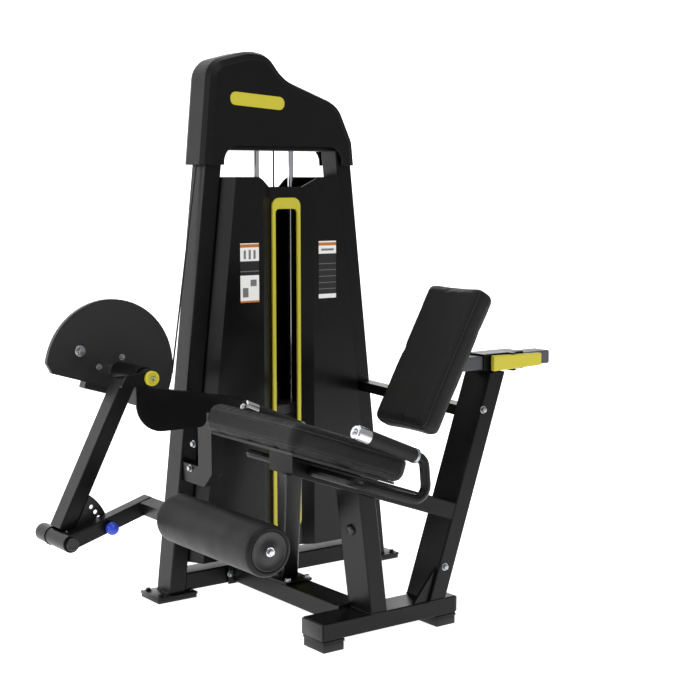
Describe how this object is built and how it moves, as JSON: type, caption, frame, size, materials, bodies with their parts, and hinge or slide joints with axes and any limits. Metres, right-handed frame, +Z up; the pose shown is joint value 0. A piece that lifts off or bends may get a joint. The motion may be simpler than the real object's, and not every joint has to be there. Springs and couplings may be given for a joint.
{
  "type": "leg extension machine",
  "caption": "Weight-stack leg extension machine with a tilted padded seat, sliding backrest, cam-driven swing arm, padded shin roller and side handles.",
  "frame": {"origin": "bottom centre of the whole machine, on the floor", "axes": "+X from the shin roller towards the backrest, +Y from the seat towards the weight tower, +Z up"},
  "size_m": [1.261, 0.947, 1.5069],
  "materials": {
    "frame_powder_coat": "satin black powder coat",
    "chrome": "bright chrome",
    "steel_plate": "satin black paint",
    "cover_plastic": "fine matte texture",
    "shroud_plastic": "high gloss black",
    "trim_plastic": "satin yellow-green",
    "vinyl": "fine-grained black vinyl",
    "rubber": "matte black",
    "cable_jacket": "smooth black jacket",
    "blue_plastic": "satin blue",
    "pulley_nylon": "dark nylon",
    "satin_steel": "satin plated steel"
  },
  "bodies": {
    "frame": {"back_post": "frame_powder_coat", "back_post_gusset": "frame_powder_coat", "badge": "trim_plastic", "bearing_housing": "frame_powder_coat", "cam_cable": "cable_jacket", "connecting_beam": "frame_powder_coat", "far_grip": "rubber", "far_handle": "frame_powder_coat", "front_base_foot": "rubber", "front_post": "frame_powder_coat", "front_shroud": "shroud_plastic", "front_strut": "frame_powder_coat", "guard_plate": "frame_powder_coat", "left_foot": "rubber", "left_guide_rod": "chrome", "left_upright": "frame_powder_coat", "near_grip": "rubber", "near_handle": "frame_powder_coat", "pivot_beam": "frame_powder_coat", "pivot_bracket": "frame_powder_coat", "pulley_bracket": "frame_powder_coat", "rear_base_foot": "rubber", "rear_shroud": "shroud_plastic", "resting_plates": "steel_plate", "right_foot": "rubber", "right_guide_rod": "chrome", "right_upright": "frame_powder_coat", "seat_base_beam": "frame_powder_coat", "seat_beam": "frame_powder_coat", "seat_board": "steel_plate", "seat_pad": "vinyl", "slider_sleeve": "frame_powder_coat", "slot_trim": "trim_plastic", "top_cover": "cover_plastic", "top_crossmember": "frame_powder_coat", "tower_base_beam": "frame_powder_coat", "upper_cross_beam": "frame_powder_coat"},
    "leg_arm": {"cam": "steel_plate", "pivot_shaft": "chrome", "counterweight": "steel_plate", "arm_link": "frame_powder_coat", "shaft_cap": "trim_plastic", "swing_arm": "frame_powder_coat", "lower_pivot_tube": "frame_powder_coat", "selector_sector": "steel_plate"},
    "roller_carrier": {"roller_arm": "frame_powder_coat", "roller_arm_pin": "chrome", "roller_spindle": "chrome"},
    "roller": {"roller_pad": "vinyl"},
    "pull_pin": {"pull_pin": "blue_plastic"},
    "weights": {"stack_head_plate": "steel_plate", "lifted_plates": "steel_plate", "lift_cable": "cable_jacket"},
    "selector_pin": {"selector_pin": "trim_plastic"},
    "cam_pulley": {"cam_pulley": "pulley_nylon"},
    "stack_pulley": {"stack_pulley": "pulley_nylon"},
    "backrest": {"slider_tube": "satin_steel", "backrest_plate": "steel_plate", "backrest_pad": "vinyl"},
    "release_lever": {"release_lever": "trim_plastic"}
  },
  "joints": [
    {"name": "leg_swing", "type": "hinge", "parent": "frame", "child": "leg_arm", "pos_m": [-0.3615, 0.3965, 0.655], "axis": [0, 1, 0], "range_deg": [0, 105]},
    {"name": "weight_lift", "type": "slide", "parent": "frame", "child": "weights", "axis": [0, 0, 1], "range_m": [0, 0.35], "deforming": ["lift_cable"]},
    {"name": "selector_pull", "type": "slide", "parent": "weights", "child": "selector_pin", "axis": [0, -1, 0], "range_m": [0, 0.034]},
    {"name": "cam_pulley_turn", "type": "hinge", "parent": "frame", "child": "cam_pulley", "pos_m": [-0.01569, 0.3965, 1.385], "axis": [0, 1, 0], "range_deg": [-450, 0]},
    {"name": "stack_pulley_turn", "type": "hinge", "parent": "frame", "child": "stack_pulley", "pos_m": [0.1195, 0.3965, 1.385], "axis": [0, 1, 0], "range_deg": [-450, 0]},
    {"name": "roller_arm_set", "type": "hinge", "parent": "leg_arm", "child": "roller_carrier", "pos_m": [-0.608, 0.3965, 0.2677], "axis": [0, -1, 0], "range_deg": [0, 27]},
    {"name": "roller_turn", "type": "hinge", "parent": "roller_carrier", "child": "roller", "pos_m": [-0.3945, 0.3965, 0.333], "axis": [0, 1, 0], "continuous": true},
    {"name": "pull_pin_slide", "type": "slide", "parent": "roller_carrier", "child": "pull_pin", "axis": [0, -1, 0], "range_m": [0, 0.01], "stiffness_N_per_m": 600, "springref_m": -0.006},
    {"name": "backrest_slide", "type": "slide", "parent": "frame", "child": "backrest", "axis": [-1, 0, 0], "range_m": [-0.06, 0.1]},
    {"name": "lever_squeeze", "type": "hinge", "parent": "frame", "child": "release_lever", "pos_m": [0.4805, -0.2661, 0.6792], "axis": [0, 0, -1], "range_deg": [0, 4], "stiffness_Nm_per_rad": 3, "springref_deg": -5.73}
  ],
  "couplings": [
    {"joint": "weight_lift", "follows": "leg_swing", "m_per_rad": 0.1901},
    {"joint": "cam_pulley_turn", "follows": "leg_swing", "ratio": -4.2244},
    {"joint": "stack_pulley_turn", "follows": "leg_swing", "ratio": -4.2244}
  ]
}
